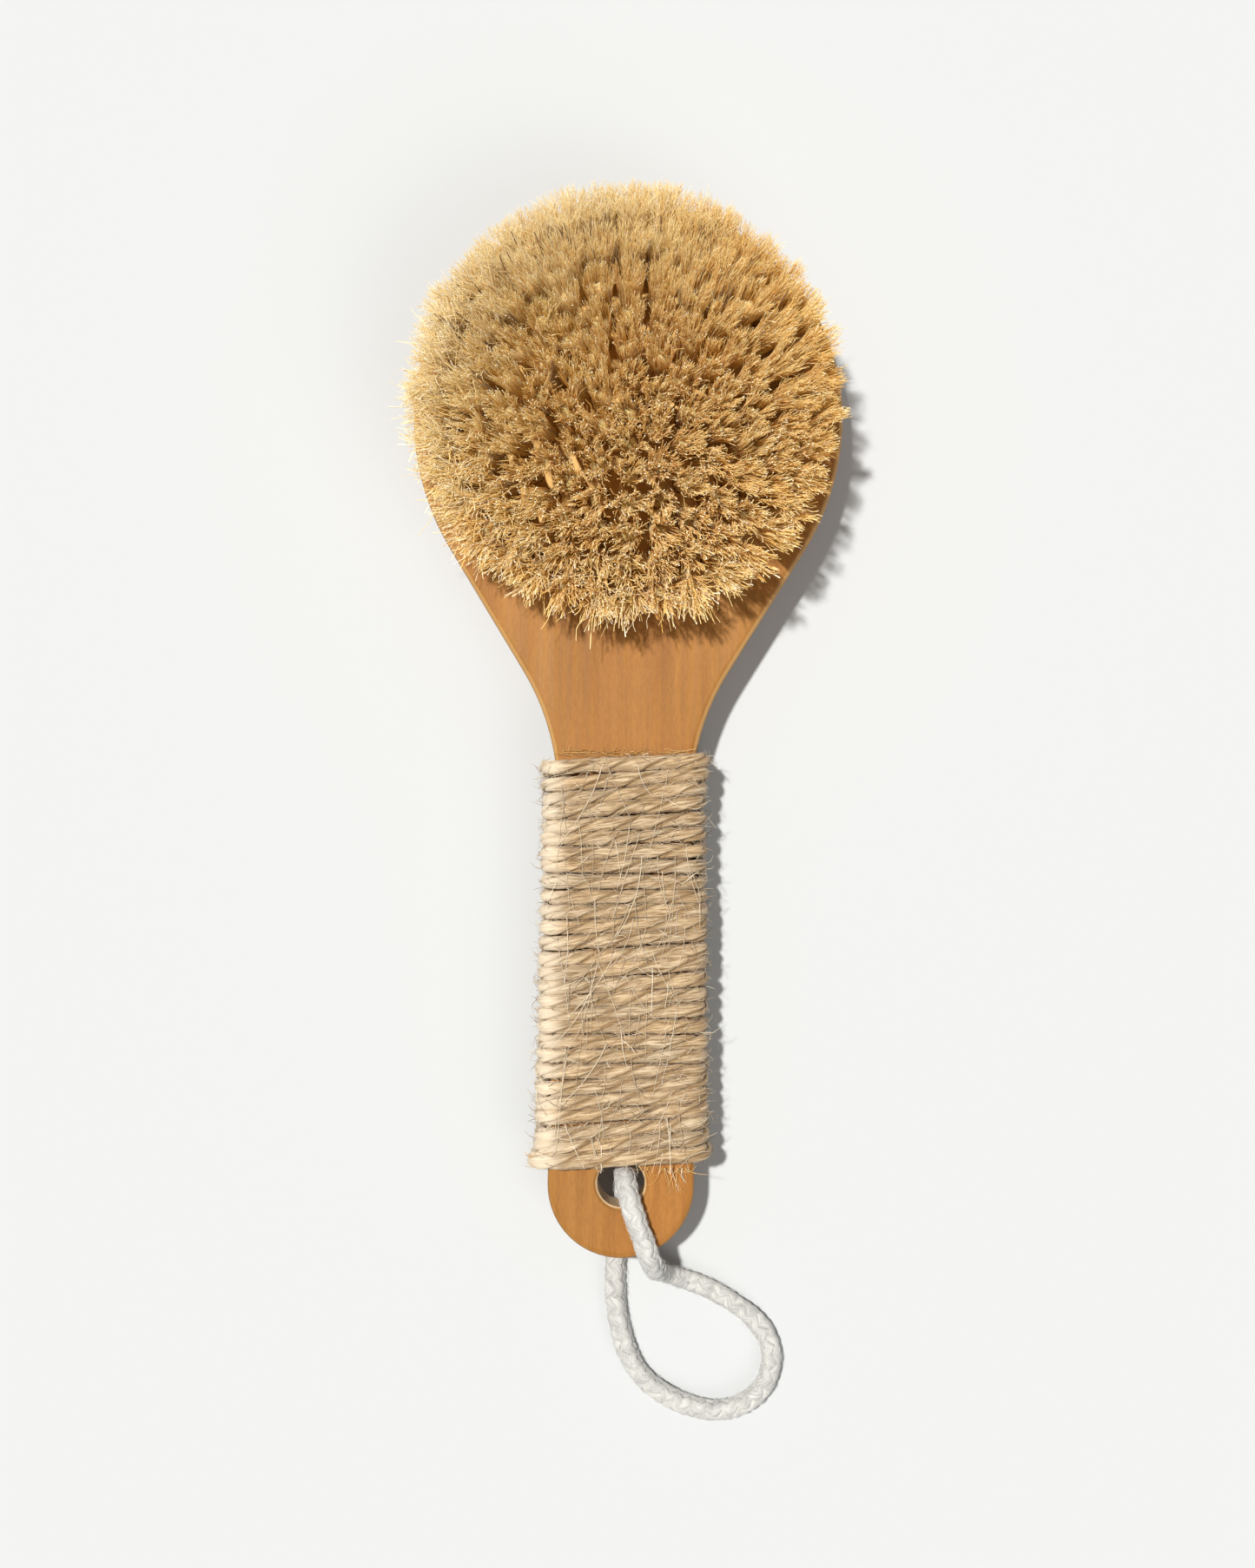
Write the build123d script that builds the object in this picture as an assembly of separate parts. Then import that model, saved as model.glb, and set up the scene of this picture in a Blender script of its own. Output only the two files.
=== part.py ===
"""Body dry brush: a wooden paddle, a head of natural-bristle tufts, a jute-wound grip and a cotton loop.

The brush lies on the flat back of its head, bristles up. +Y runs from the grip to the head, +Z up through
the bristles, and the origin is on the resting surface, halfway along the wood. Millimetres throughout.
"""

from build123d import *
import math
import os

os.makedirs("parts", exist_ok=True)

# Wooden paddle
BOARD_LENGTH = 231.7
FACE_Z = 16.0  # the front face, where the tufts come out
HEAD_RADIUS = 47.1
HEAD_Y = BOARD_LENGTH / 2 - HEAD_RADIUS
SHOULDER_RADIUS = 56.0  # the head's lower sides curve more gently than its top
FLANK_ANGLE = 31.5  # the straight flanks of the neck, from the long axis
NECK_RADIUS = 52.0  # the hollow curve where a flank meets the grip
GRIP_SPLAY = 0.9  # each side of the grip widens by this angle towards its end
END_RADIUS = 16.1
END_Y = END_RADIUS - BOARD_LENGTH / 2
EDGE_RADIUS = 1.6
RELIEF_Z = 5.5  # the grip's back stands this much higher than the head's back
RELIEF_TOP_Y = 22.0
RELIEF_LENGTH = 26.0

# Hanging hole
HOLE_RADIUS = 5.25
HOLE_Y = END_Y + 0.5
HOLE_RIM = 0.8

# Bristle tufts, in rings of 6, 12, 18 and so on about one tuft in the middle
FIELD_CENTRE = (0.3, 67.6)
RING_COUNT = 6
RING_PITCH = 5.95
OUTER_LEAN = 20.0  # degrees outward for the outermost ring, and in proportion further in
BRISTLE_LENGTH = 20.4  # out of the wood, along each tuft's own lean
TUFT_HOLE_RADIUS = 2.0
TUFT_HOLE_DEPTH = 8.0
TUFT_CLEARANCE = 0.05  # between a tuft and its hole, all round and at the bottom
TUFT_COLLAR = 1.0  # how far a tuft stays straight above its hole before it flares
TUFT_TIP_RADIUS = 3.1
TUFT_CROWN = 0.5  # the trimmed tips are slightly rounded over

# Flat-wire staples, one across the fold of each tuft
STAPLE_LIFT = 0.5  # bristle under the staple
STAPLE_WIDTH = 4.3  # wider than the hole, so its ends bite into the wood
STAPLE_DEPTH = 1.6
STAPLE_THICKNESS = 0.4
STAPLE_CLEARANCE = 0.02

# Jute twine wound round the grip
TWINE_RADIUS = 1.47
TWINE_GAP = 0.04
WRAP_TOP_Y = -6.7  # centre of the first turn
WRAP_PITCH = 3.18
WRAP_TURNS = 28
WRAP_END_X = -7.0  # the last turn is tucked in behind the grip, clear of the hanging hole

# Cotton hanging loop: a limp cord through the hole, its ends butted together inside it
CORD_RADIUS = 2.4
CORD_ROUTE = [
    (0.9, -97.6, 10.4),
    (0.9, -97.6, 15.8),
    (1.5, -100.5, 18.8),
    (2.6, -104.6, 18.9),
    (4.4, -109.4, 18.85),
    (6.4, -115.1, 19.0),
    (7.65, -118.3, 15.8),
    (8.7, -119.9, 9.8),
    (11.0, -121.7, 4.8),
    (15.0, -123.5, 2.45),
    (20.2, -125.4, 2.45),
    (26.4, -128.9, 2.45),
    (31.6, -133.2, 2.45),
    (34.2, -138.2, 2.45),
    (34.3, -143.6, 2.45),
    (31.8, -148.7, 2.45),
    (26.9, -152.1, 2.45),
    (21.2, -153.1, 2.45),
    (15.3, -151.8, 2.45),
    (9.4, -149.1, 2.45),
    (4.4, -144.9, 2.45),
    (1.3, -139.2, 2.45),
    (-0.4, -133.0, 2.45),
    (-1.3, -126.6, 2.45),
    (-1.2, -120.2, 2.45),
    (-0.8, -114.2, 2.45),
    (-0.1, -108.9, 2.45),
    (0.6, -104.3, 2.45),
    (0.9, -100.5, 2.45),
    (0.9, -97.6, 5.4),
    (0.9, -97.6, 10.2),
]
CORD_SETBACK = 0.45  # how much of the shorter of its two runs a bend takes up

TOOL_OVERSHOOT = 1.0  # how far a cutting shape runs past the surface it cuts
TOUCHING = 0.01  # two levels closer than this are the same


def direction(angle):
    """A unit step down the paddle, turned outward on the +X side by angle degrees."""
    turn = math.radians(angle)
    return Vector(math.sin(turn), -math.cos(turn))


def half_outline():
    """The paddle's edge on the +X side, from the top of the head to the middle of the grip's end."""
    crown = CenterArc((0, HEAD_Y), HEAD_RADIUS, 90, -90)
    shoulder = CenterArc((HEAD_RADIUS - SHOULDER_RADIUS, HEAD_Y), SHOULDER_RADIUS, 0, -FLANK_ANGLE)
    down_flank = direction(-FLANK_ANGLE)
    down_grip = direction(GRIP_SPLAY)
    splay = math.radians(GRIP_SPLAY)
    grip_end = Vector(0, END_Y) + Vector(math.cos(splay), math.sin(splay)) * END_RADIUS
    flank_top = shoulder @ 1
    across = grip_end - flank_top
    share = (across.X * down_grip.Y - across.Y * down_grip.X) / (
        down_flank.X * down_grip.Y - down_flank.Y * down_grip.X
    )
    corner = flank_top + down_flank * share
    setback = NECK_RADIUS * math.tan(math.radians(FLANK_ANGLE + GRIP_SPLAY) / 2)
    flank_end = corner - down_flank * setback
    grip_top = corner + down_grip * setback
    flank = Line(flank_top, flank_end)
    neck = TangentArc(flank_end, grip_top, tangent=down_flank)
    grip = Line(grip_top, grip_end)
    end = CenterArc((0, END_Y), END_RADIUS, GRIP_SPLAY, -90 - GRIP_SPLAY)
    return [crown, shoulder, flank, neck, grip, end]


def paddle_blank():
    """The sawn and rounded paddle, before any hole is drilled."""
    right = half_outline()
    left = [mirror(piece, about=Plane.YZ) for piece in right]
    outline = [edge for piece in (*right, *left) for edge in piece.edges()]
    blank = extrude(make_face(outline), FACE_Z)
    blank -= back_relief()
    return fillet(blank.edges().filter_by(lambda e: not is_seam_across(e) and is_rim(e)), EDGE_RADIUS)


def back_relief():
    """What is cut from the back to make the grip thinner than the head: an S-curve, then a flat."""
    sweep_radius = (RELIEF_LENGTH**2 + RELIEF_Z**2) / (4 * RELIEF_Z)
    top = Vector(0, RELIEF_TOP_Y, 0)
    middle = Vector(0, RELIEF_TOP_Y - RELIEF_LENGTH / 2, RELIEF_Z / 2)
    bottom = Vector(0, RELIEF_TOP_Y - RELIEF_LENGTH, RELIEF_Z)
    far_y = -BOARD_LENGTH / 2 - sweep_radius
    first = TangentArc(top, middle, tangent=(0, -1, 0))
    second = TangentArc(middle, bottom, tangent=first % 1)
    rest = Polyline(bottom, (0, far_y, RELIEF_Z), (0, far_y, 0), top)
    profile = make_face([first.edge(), second.edge(), *rest.edges()])
    return extrude(profile, HEAD_RADIUS, dir=(1, 0, 0), both=True)


def is_seam_across(edge):
    """True for an edge that runs straight across the back, where the relief's curves meet."""
    box = edge.bounding_box()
    return box.size.Y < TOUCHING < box.size.X


def is_rim(edge):
    """True for an edge that follows the outline on the front face or on the back."""
    box = edge.bounding_box()
    on_front = box.min.Z > FACE_Z - TOUCHING
    on_back = box.max.Z < RELIEF_Z + TOUCHING
    return on_front or on_back


def hanging_hole():
    """The through hole near the grip's end, with both rims eased."""
    mouth_radius = HOLE_RADIUS + HOLE_RIM + TOOL_OVERSHOOT
    low_end = RELIEF_Z - TOOL_OVERSHOOT
    high_end = FACE_Z + TOOL_OVERSHOOT
    profile = Polyline(
        (0, low_end),
        (mouth_radius, low_end),
        (HOLE_RADIUS, RELIEF_Z + HOLE_RIM),
        (HOLE_RADIUS, FACE_Z - HOLE_RIM),
        (mouth_radius, high_end),
        (0, high_end),
        close=True,
    )
    cutter = revolve(Plane.XZ * make_face(profile), Axis.Z)
    return Pos(0, HOLE_Y, 0) * cutter


def ring_frames(ring):
    """One placed frame per tuft of a ring, at the front face, with its Z along the leaning tuft."""
    radius = ring * RING_PITCH
    count = max(1, 6 * ring)
    lean = OUTER_LEAN * ring / RING_COUNT
    frames = []
    for number in range(count):
        bearing = 360 * (number + 0.5 * (ring % 2)) / count
        turn = math.radians(bearing)
        x = FIELD_CENTRE[0] + radius * math.cos(turn)
        y = FIELD_CENTRE[1] + radius * math.sin(turn)
        frames.append(Pos(x, y, FACE_Z) * Rot(0, 0, bearing) * Rot(0, lean, 0))
    return frames


def staple():
    """A cut length of flat wire, standing on edge across the hole's bottom."""
    centre_z = STAPLE_LIFT + STAPLE_DEPTH / 2 - TUFT_HOLE_DEPTH
    return Pos(0, 0, centre_z) * Box(STAPLE_THICKNESS, STAPLE_WIDTH, STAPLE_DEPTH)


def tuft():
    """A bundle of bristles folded round its staple: straight in the hole, then flaring to trimmed tips."""
    root_radius = TUFT_HOLE_RADIUS - TUFT_CLEARANCE
    profile = Polyline(
        (0, -TUFT_HOLE_DEPTH),
        (root_radius, -TUFT_HOLE_DEPTH),
        (root_radius, TUFT_COLLAR),
        (TUFT_TIP_RADIUS, BRISTLE_LENGTH - TUFT_CROWN),
        (TUFT_TIP_RADIUS - TUFT_CROWN, BRISTLE_LENGTH),
        (0, BRISTLE_LENGTH),
        close=True,
    )
    bundle = revolve(Plane.XZ * make_face(profile), Axis.Z)
    slot_size = (
        STAPLE_THICKNESS + 2 * STAPLE_CLEARANCE,
        2 * STAPLE_WIDTH,
        STAPLE_DEPTH + 2 * STAPLE_CLEARANCE,
    )
    centre_z = STAPLE_LIFT + STAPLE_DEPTH / 2 - TUFT_HOLE_DEPTH
    return bundle - Pos(0, 0, centre_z) * Box(*slot_size)


def tuft_hole():
    """What the drill clears for one tuft: a blind hole, and the air in front of it."""
    bottom = -TUFT_HOLE_DEPTH - TUFT_CLEARANCE
    up_from_base = (Align.CENTER, Align.CENTER, Align.MIN)
    return Pos(0, 0, bottom) * Cylinder(TUFT_HOLE_RADIUS, 2 * TUFT_HOLE_DEPTH, align=up_from_base)


def grip_half_width(y):
    """Half the grip's width at a place along it, from the straight side or the neck's hollow curve."""
    grip_end_x = END_RADIUS * math.cos(math.radians(GRIP_SPLAY))
    grip_end_y = END_Y + END_RADIUS * math.sin(math.radians(GRIP_SPLAY))
    straight = grip_end_x - (y - grip_end_y) * math.tan(math.radians(GRIP_SPLAY))
    neck = half_outline()[3]
    neck_centre = neck.arc_center
    if y < (neck @ 1).Y:
        return straight
    return neck_centre.X - math.sqrt(NECK_RADIUS**2 - (y - neck_centre.Y) ** 2)


def handle_twine():
    """The winding: square turns down the grip, each half a pitch lower across the front and the back."""
    stand_off = TWINE_RADIUS + TWINE_GAP
    front = FACE_Z + stand_off
    back = RELIEF_Z - stand_off
    points = [(0, WRAP_TOP_Y + WRAP_PITCH / 4, back)]
    for turn in range(WRAP_TURNS):
        y = WRAP_TOP_Y - turn * WRAP_PITCH
        upper = grip_half_width(y) + stand_off
        lower = grip_half_width(y - WRAP_PITCH / 2) + stand_off
        points.append((upper, y, back))
        points.append((upper, y, front))
        points.append((-lower, y - WRAP_PITCH / 2, front))
        points.append((-lower, y - WRAP_PITCH / 2, back))
    points.append((WRAP_END_X, points[-1][1] - WRAP_PITCH / 4, back))
    path = FilletPolyline(*points, radius=EDGE_RADIUS + stand_off)
    return tube(path, TWINE_RADIUS)


def tube(path, radius):
    """A round section swept along a path of straight runs and tangent arcs."""
    start = path @ 0
    section = Plane(start, z_dir=path % 0) * Circle(radius)
    return sweep(section, path=path)


def arc_radii(points):
    """Each bend is as large as its two runs allow."""
    radii = []
    for before, here, after in zip(points, points[1:], points[2:]):
        first = Vector(here) - Vector(before)
        second = Vector(after) - Vector(here)
        half_turn = math.radians(first.get_angle(second)) / 2
        radii.append(CORD_SETBACK * min(first.length, second.length) / math.tan(half_turn))
    return radii


def hang_cord():
    """The cotton loop, from the butt joint in the hole over the front, round on the surface and back."""
    radii = arc_radii(CORD_ROUTE)
    path = FilletPolyline(*CORD_ROUTE, radius=radii)
    cord = tube(path, CORD_RADIUS)
    expected = math.pi * CORD_RADIUS**2 * path.length
    print("cord bend radii:", [round(r, 1) for r in radii])
    print("cord length:", round(path.length, 1))
    print("cord volume:", round(cord.volume), "and its section times its length:", round(expected))
    return cord


def save(shape, node):
    """Writes one node's STEP file."""
    export_step(shape, f"parts/{node}.step")


def main():
    wood = paddle_blank() - hanging_hole()
    ring_names = ["centre"] + [f"ring_{ring}" for ring in range(1, RING_COUNT + 1)]
    hole = tuft_hole()
    holes = [frame * hole for ring in range(RING_COUNT + 1) for frame in ring_frames(ring)]
    wood -= holes
    save(wood, "wood_body")
    for ring, name in enumerate(ring_names):
        frames = ring_frames(ring)
        save(Compound([frame * tuft().solid() for frame in frames]), f"tufts_{name}")
        save(Compound([frame * staple().solid() for frame in frames]), f"staples_{name}")
    save(handle_twine(), "handle_twine")
    save(hang_cord(), "hang_cord")


main()
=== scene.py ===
"""Body dry brush, lying on its back on a pale floor and seen from straight above.

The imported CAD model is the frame. The wood and the staples keep their CAD shapes and get materials.
The tufts, the twine and the cord are replaced by real strands: bristles, twisted plies with loose
fibres, and a round braid. Lengths are in metres, and MM turns millimetres into metres.
"""

import math

import bpy
import numpy as np
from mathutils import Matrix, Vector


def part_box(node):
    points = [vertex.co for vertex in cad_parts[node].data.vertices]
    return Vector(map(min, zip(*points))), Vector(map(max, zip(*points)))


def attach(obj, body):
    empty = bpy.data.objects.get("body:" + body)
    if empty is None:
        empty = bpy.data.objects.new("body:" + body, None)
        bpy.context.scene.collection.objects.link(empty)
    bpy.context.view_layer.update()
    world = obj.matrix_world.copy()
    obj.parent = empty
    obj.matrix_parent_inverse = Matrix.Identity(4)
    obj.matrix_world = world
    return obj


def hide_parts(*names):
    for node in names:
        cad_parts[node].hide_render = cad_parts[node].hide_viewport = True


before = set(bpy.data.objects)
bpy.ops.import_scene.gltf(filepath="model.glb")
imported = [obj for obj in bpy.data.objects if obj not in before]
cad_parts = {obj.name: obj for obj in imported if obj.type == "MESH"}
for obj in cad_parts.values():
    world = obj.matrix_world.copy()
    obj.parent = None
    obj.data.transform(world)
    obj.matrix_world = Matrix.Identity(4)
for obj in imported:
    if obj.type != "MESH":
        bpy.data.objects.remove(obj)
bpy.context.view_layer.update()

MM = 0.001
TAU = 2 * math.pi

# Camera: straight down from this height, turned a little, over a point near the middle of the wood
CAMERA_PLACE = (0.61 * MM, -11.75 * MM, 450 * MM)
CAMERA_TURN = math.radians(0.55)
CAMERA_LENS = 45.53

# Light: a small key from the upper left, a broad one from the lower right, and an even surround
KEY_TILT = 20.0
KEY_BEARING = 138.0
KEY_STRENGTH = 4.30
KEY_ANGLE = 3.0
SIDE_TILT = 44.0
SIDE_BEARING = -52.0
SIDE_STRENGTH = 0.78
SIDE_ANGLE = 40.0
SURROUND = (0.270, 0.272, 0.276)
SURROUND_STRENGTH = 0.78
FLOOR_COLOUR = (0.544, 0.553, 0.551)
FLOOR_SIZE = 6.0

# Cotton cord: the same route as its CAD tube
CORD_ROUTE_MM = [
    (0.9, -97.6, 10.4),
    (0.9, -97.6, 15.8),
    (1.5, -100.5, 18.8),
    (2.6, -104.6, 18.9),
    (4.4, -109.4, 18.85),
    (6.4, -115.1, 19.0),
    (7.65, -118.3, 15.8),
    (8.7, -119.9, 9.8),
    (11.0, -121.7, 4.8),
    (15.0, -123.5, 2.45),
    (20.2, -125.4, 2.45),
    (26.4, -128.9, 2.45),
    (31.6, -133.2, 2.45),
    (34.2, -138.2, 2.45),
    (34.3, -143.6, 2.45),
    (31.8, -148.7, 2.45),
    (26.9, -152.1, 2.45),
    (21.2, -153.1, 2.45),
    (15.3, -151.8, 2.45),
    (9.4, -149.1, 2.45),
    (4.4, -144.9, 2.45),
    (1.3, -139.2, 2.45),
    (-0.4, -133.0, 2.45),
    (-1.3, -126.6, 2.45),
    (-1.2, -120.2, 2.45),
    (-0.8, -114.2, 2.45),
    (-0.1, -108.9, 2.45),
    (0.6, -104.3, 2.45),
    (0.9, -100.5, 2.45),
    (0.9, -97.6, 5.4),
    (0.9, -97.6, 10.2),
]
BRAID_STRANDS_EACH_WAY = 4
BRAID_PITCH = 15 * MM  # along the cord for one turn of a strand
BRAID_RADIUS = 1.52 * MM  # to the middle of a strand
BRAID_WEAVE = 0.22 * MM  # how far a strand rises and dips as it crosses the others
BRAID_HALF_THICK = 0.62 * MM
BRAID_HALF_WIDE = 1.20 * MM
CORD_STEP = 0.45 * MM
ABOVE_FLOOR = 0.03 * MM  # the cord is pressed flat this far above the floor
CORD_FILAMENTS = 2200

# Jute twine
TWINE_RADIUS = 1.47 * MM
TWINE_TURNS = 28
TWINE_CORNER = 3.1 * MM
TWINE_STEP = 0.7 * MM
PLY_PITCH = 17.5 * MM
PLY_OFFSET = 0.66 * MM
PLY_HALF_THICK = 0.88 * MM
PLY_HALF_WIDE = 1.46 * MM
FIBRE_SHEAR = -0.11  # how far round the ply a fibre moves, for each millimetre along it
SHORT_HAIRS = 9000
LONG_HAIRS = 120
FIRST_TURN_HAIRS = 60
LAST_TURN_HAIRS = 56

# Bristles, in the same rings as the CAD tufts
RING_COUNT = 6
RING_PITCH = 5.95 * MM
OUTER_LEAN = math.radians(20.0)
BRISTLE_LENGTH = 20.4 * MM
FEWEST_BRISTLES = 155
MOST_BRISTLES = 335
MOST_TUFTS_A_PIECE = 16
LOCKS = 14  # the loose ends of a tuft gather in about this many locks
TUFT_FAN = 2.6 * MM  # how far the tips of a fully fanned tuft reach beyond its own lean
TUFT_ROOT_RADIUS = 1.8 * MM

# The dense inside of a tuft, low and sparse or high and full: shares of the bristle's length, and radii
BUNDLE_SIDES = 22
LOW_BUNDLE = (
    np.array([-0.1, 0.0, 0.12, 0.24, 0.34, 0.42, 0.48, 0.52, 0.55]),
    np.array([1.8, 1.8, 1.85, 1.9, 1.95, 1.8, 1.4, 0.9, 0.3]) * MM,
)
HIGH_BUNDLE = (
    np.array([-0.1, 0.0, 0.15, 0.30, 0.45, 0.56, 0.64, 0.70, 0.74]),
    np.array([1.8, 1.85, 2.05, 2.3, 2.55, 2.6, 2.2, 1.4, 0.5]) * MM,
)

# Places on the tint scales that more than one piece uses
TINT_WIDTH = 0.004  # how much of the scale one strand covers
GOLDEN_JUTE = 0.97
GOLDEN_PALE = 0.885
CREAM = 0.935
CREAM_BEAD = 0.93
DARK_BROWN = 0.98

GOLDEN_SHEEN = (1.0, 0.78, 0.48)  # of bristle at a grazing angle

# Hanging hole
HOLE_CENTRE = (0.0, -99.25 * MM)
HOLE_RADIUS = 5.25 * MM


# ---------------------------------------------------------------- meshes


def new_piece(name, vertices, faces, uv_sets, material, smooth=True):
    """A mesh object. uv_sets maps a layer's name to one (u, v) pair per face corner."""
    mesh = bpy.data.meshes.new(name)
    mesh.from_pydata(np.asarray(vertices).tolist(), [], [list(face) for face in faces])
    for layer_name, pairs in uv_sets.items():
        layer = mesh.uv_layers.new(name=layer_name)
        layer.data.foreach_set("uv", np.asarray(pairs, dtype=np.float32).ravel())
    mesh.polygons.foreach_set("use_smooth", [smooth] * len(mesh.polygons))
    mesh.materials.append(material)
    piece = bpy.data.objects.new(name, mesh)
    bpy.context.scene.collection.objects.link(piece)
    return piece


def unit(vectors):
    """The same vectors at length 1."""
    return vectors / np.maximum(np.linalg.norm(vectors, axis=-1, keepdims=True), 1e-12)


def spline_points(route):
    """Points along a quadratic NURBS curve with the route's points as its control points."""
    curve = bpy.data.curves.new("route", "CURVE")
    curve.dimensions = "3D"
    curve.resolution_u = 32
    spline = curve.splines.new("NURBS")
    spline.points.add(len(route) - 1)
    for point, place in zip(spline.points, route):
        point.co = (*place, 1.0)
    spline.order_u = 3
    spline.use_endpoint_u = True
    carrier = bpy.data.objects.new("route", curve)
    bpy.context.scene.collection.objects.link(carrier)
    bpy.context.view_layer.update()
    mesh = bpy.data.meshes.new_from_object(carrier)
    points = np.array([vertex.co[:] for vertex in mesh.vertices])
    bpy.data.objects.remove(carrier)
    bpy.data.curves.remove(curve)
    bpy.data.meshes.remove(mesh)
    return points


def resampled(points, step):
    """Points an even step apart along a line, and how far along it each is."""
    along = np.concatenate([[0], np.cumsum(np.linalg.norm(np.diff(points, axis=0), axis=1))])
    count = int(round(along[-1] / step)) + 1
    places = np.linspace(0, along[-1], count)
    return np.stack([np.interp(places, along, points[:, k]) for k in range(3)], axis=1), places


def carried_frames(points, start_normal):
    """Tangents, normals and binormals along a line, with no twist about it."""
    tangents = unit(np.gradient(points, axis=0))
    normals = np.empty_like(points)
    normal = np.asarray(start_normal, float)
    for index, tangent in enumerate(tangents):
        normal = normal - tangent * normal.dot(tangent)
        normal = normal / np.linalg.norm(normal)
        normals[index] = normal
    return tangents, normals, np.cross(tangents, normals)


def wound_rings(line, frames, turn, radius, half_thick, half_wide, sides):
    """Sections of a strand wound about a line: an ellipse, thin towards the line and wide across it."""
    _, normals, binormals = frames
    out = np.cos(turn)[:, None] * normals + np.sin(turn)[:, None] * binormals
    centres = line + out * np.broadcast_to(radius, turn.shape)[:, None]
    across = unit(np.cross(unit(np.gradient(centres, axis=0)), out))
    angles = np.arange(sides) * TAU / sides
    thick = np.broadcast_to(half_thick, turn.shape)[:, None, None] * np.cos(angles)[None, :, None]
    wide = np.broadcast_to(half_wide, turn.shape)[:, None, None] * np.sin(angles)[None, :, None]
    return centres[:, None, :] + out[:, None, :] * thick + across[:, None, :] * wide


def side_quads(ring_count, sides, count):
    """Quads between the rings of vertices of tubes that follow one another in a mesh."""
    rows = np.arange(ring_count - 1)[:, None] * sides
    here = np.arange(sides)[None, :]
    after = (here + 1) % sides
    quads = np.stack([rows + here, rows + after, rows + sides + after, rows + sides + here], axis=-1)
    firsts = np.arange(count)[:, None, None] * ring_count * sides
    return (quads.reshape(-1, 4)[None] + firsts).reshape(-1, 4)


def joined_tubes(tubes, sides):
    """Vertices and faces of tubes with end caps in one mesh. Each tube is given as its rings."""
    ring_count = len(tubes[0])
    last = (ring_count - 1) * sides
    caps = []
    for first in range(0, len(tubes) * ring_count * sides, ring_count * sides):
        caps.append(list(range(first + sides - 1, first - 1, -1)))
        caps.append(list(range(first + last, first + last + sides)))
    return np.reshape(tubes, (-1, 3)), side_quads(ring_count, sides, len(tubes)).tolist() + caps


def strands(name, material, paths, radii, tints, rng, sides=3):
    """Many thin tapered strands in one mesh. Their UV gives each one's tint across and its length up."""
    count, knots, _ = paths.shape
    tangents = unit(np.gradient(paths, axis=1))
    helper = np.where(np.abs(tangents[..., 2:3]) > 0.9, [[[1.0, 0.0, 0.0]]], [[[0.0, 0.0, 1.0]]])
    normals = unit(np.cross(tangents, helper))
    binormals = np.cross(tangents, normals)
    spin = rng.uniform(0, TAU, count)[:, None] + (np.arange(sides) * TAU / sides)[None, :]
    ring = (
        np.cos(spin)[:, None, :, None] * normals[:, :, None, :]
        + np.sin(spin)[:, None, :, None] * binormals[:, :, None, :]
    )
    vertices = (paths[:, :, None, :] + ring * radii[:, :, None, None]).reshape(-1, 3)
    quads = side_quads(knots, sides, count)
    caps = np.arange(sides)[None, :] + (knots - 1) * sides + np.arange(count)[:, None] * knots * sides
    low = np.repeat(np.arange(knots - 1), sides) / (knots - 1)
    step = 1 / (knots - 1)
    half = TINT_WIDTH / 2
    tints = np.broadcast_to(tints if tints.ndim == 2 else tints[:, None], (count, knots))
    low_tint = np.repeat(tints[:, :-1], sides, axis=1)
    high_tint = np.repeat(tints[:, 1:], sides, axis=1)
    quad_u = np.stack([low_tint - half, low_tint + half, high_tint + half, high_tint - half], -1)
    quad_v = np.stack([low, low, low + step, low + step], -1)
    quad_v = np.broadcast_to(quad_v[None], (count, (knots - 1) * sides, 4))
    cap_u = tints[:, -1:] + np.linspace(-half, half, sides)[None, :]
    cap_v = np.full((count, sides), 1.0) - np.array([0.004] + [0.0] * (sides - 1))[None, :]
    quad_uv = np.stack([quad_u, quad_v], -1).reshape(-1, 2)
    cap_uv = np.stack([cap_u, cap_v], -1).reshape(-1, 2)
    faces = quads.tolist() + caps.tolist()
    uv_sets = {"OFBake": np.concatenate([quad_uv, cap_uv])}
    return new_piece(name, vertices, faces, uv_sets, material, smooth=False)


# ---------------------------------------------------------------- materials


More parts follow.
